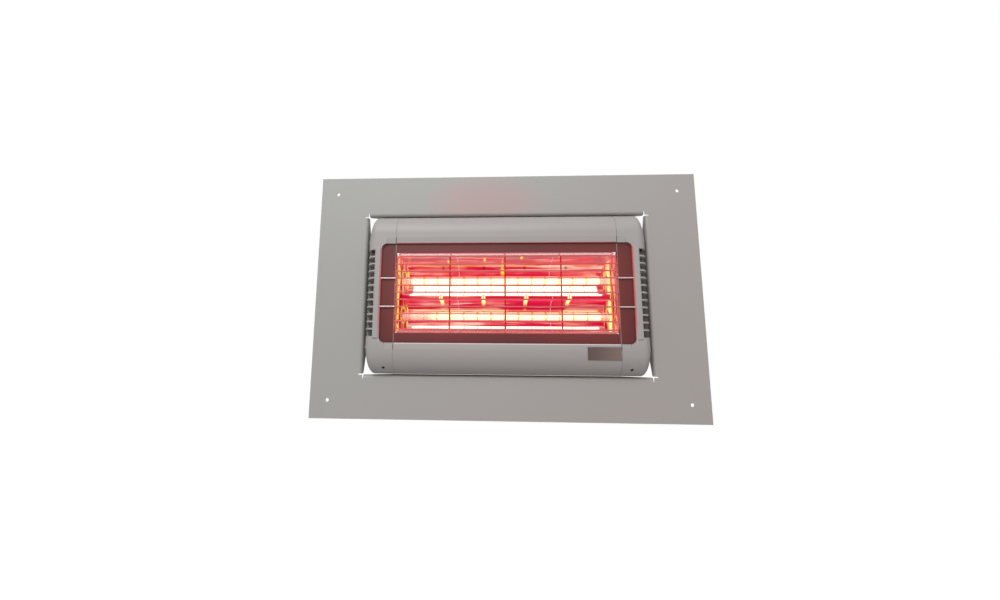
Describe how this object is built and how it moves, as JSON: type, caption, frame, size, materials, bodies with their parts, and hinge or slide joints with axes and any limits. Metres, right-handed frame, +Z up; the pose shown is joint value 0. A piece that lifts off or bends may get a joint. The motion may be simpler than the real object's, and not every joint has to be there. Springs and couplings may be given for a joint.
{
  "type": "recessed infrared patio heater",
  "caption": "Twin-lamp infrared heater with a mirror trough reflector and wire guard, held in a flanged recess plate with corner screw holes.",
  "frame": {"origin": "middle of the recess plate's four screw holes, on the plate's front face", "axes": "+X to the right as seen from the front, +Y into the wall or ceiling void, +Z up as in the picture; the heater faces -Y"},
  "size_m": [0.55, 0.1349, 0.35],
  "materials": {
    "plate_paint": "satin powder coat",
    "profile_paint": "satin powder coat",
    "cap_paint": "satin powder coat",
    "window_dark": "dark bronze, glossy",
    "guard_steel": "polished wire",
    "mirror": "bright rolled mirror",
    "quartz": "clear quartz",
    "filament": "glowing",
    "tungsten": "dull",
    "ceramic": "matt ceramic",
    "contact_brass": "bright",
    "spring_steel": "drawn wire",
    "bracket_steel": "zinc plated sheet",
    "screw_steel": "stainless",
    "joint_seal": "light grey silicone sheet",
    "seal_rubber": "silicone",
    "box_plastic": "moulded",
    "gland_plastic": "moulded",
    "lead_sleeve": "woven glass sleeve",
    "badge_metal": "dark brushed"
  },
  "bodies": {
    "heater": {"badge_plate": "badge_metal", "body_fixing_screws": "screw_steel", "body_fixing_spacers": "screw_steel", "cable_gland_body": "gland_plastic", "cable_gland_locknut": "gland_plastic", "cable_gland_nut": "gland_plastic", "cable_gland_seal": "seal_rubber", "earth_stud": "contact_brass", "end_cap_screws": "screw_steel", "fixed_contacts": "contact_brass", "guard_cross_wires": "guard_steel", "guard_ring": "guard_steel", "guard_upright_wires": "guard_steel", "internal_leads": "lead_sleeve", "lead_grommet": "seal_rubber", "left_end_cap": "cap_paint", "left_end_gasket": "joint_seal", "left_end_reflector": "mirror", "left_holder_bracket": "bracket_steel", "left_lower_lamp_holder": "ceramic", "left_upper_lamp_holder": "ceramic", "lower_contact_spring": "spring_steel", "lower_housing_profile": "profile_paint", "lower_reflector": "mirror", "rear_panel": "bracket_steel", "rear_panel_screws": "screw_steel", "recess_plate": "plate_paint", "ridge_posts": "bracket_steel", "right_end_cap": "cap_paint", "right_end_gasket": "joint_seal", "right_end_reflector": "mirror", "right_holder_bracket": "bracket_steel", "right_lower_lamp_holder": "ceramic", "right_upper_lamp_holder": "ceramic", "small_inner_screws": "screw_steel", "terminal_block": "ceramic", "terminal_box": "box_plastic", "terminal_box_lid": "box_plastic", "terminal_box_screws": "screw_steel", "terminal_box_seal": "seal_rubber", "terminal_screws": "contact_brass", "upper_contact_spring": "spring_steel", "upper_housing_profile": "profile_paint", "upper_reflector": "mirror", "window_panel_bottom": "window_dark", "window_panel_left": "window_dark", "window_panel_right": "window_dark", "window_panel_top": "window_dark"},
    "upper_lamp": {"upper_lamp_tube": "quartz", "upper_lamp_filament": "filament", "upper_lamp_supports": "tungsten", "upper_lamp_caps": "ceramic", "upper_lamp_pins": "contact_brass"},
    "lower_lamp": {"lower_lamp_tube": "quartz", "lower_lamp_filament": "filament", "lower_lamp_supports": "tungsten", "lower_lamp_caps": "ceramic", "lower_lamp_pins": "contact_brass"},
    "upper_contact": {"upper_sprung_contact": "contact_brass"},
    "lower_contact": {"lower_sprung_contact": "contact_brass"}
  },
  "joints": [
    {"name": "upper_lamp_slide", "type": "slide", "parent": "heater", "child": "upper_lamp", "axis": [1, 0, 0], "range_m": [0, 0.003], "stiffness_N_per_m": 800, "springref_m": -0.002},
    {"name": "upper_contact_slide", "type": "slide", "parent": "heater", "child": "upper_contact", "axis": [1, 0, 0], "range_m": [0, 0.003], "stiffness_N_per_m": 400, "springref_m": -0.002, "deforming": ["upper_contact_spring"]},
    {"name": "lower_lamp_slide", "type": "slide", "parent": "heater", "child": "lower_lamp", "axis": [1, 0, 0], "range_m": [0, 0.003], "stiffness_N_per_m": 800, "springref_m": -0.002},
    {"name": "lower_contact_slide", "type": "slide", "parent": "heater", "child": "lower_contact", "axis": [1, 0, 0], "range_m": [0, 0.003], "stiffness_N_per_m": 400, "springref_m": -0.002, "deforming": ["lower_contact_spring"]}
  ],
  "couplings": [
    {"joint": "upper_contact_slide", "follows": "upper_lamp_slide", "ratio": 1},
    {"joint": "lower_contact_slide", "follows": "lower_lamp_slide", "ratio": 1}
  ]
}
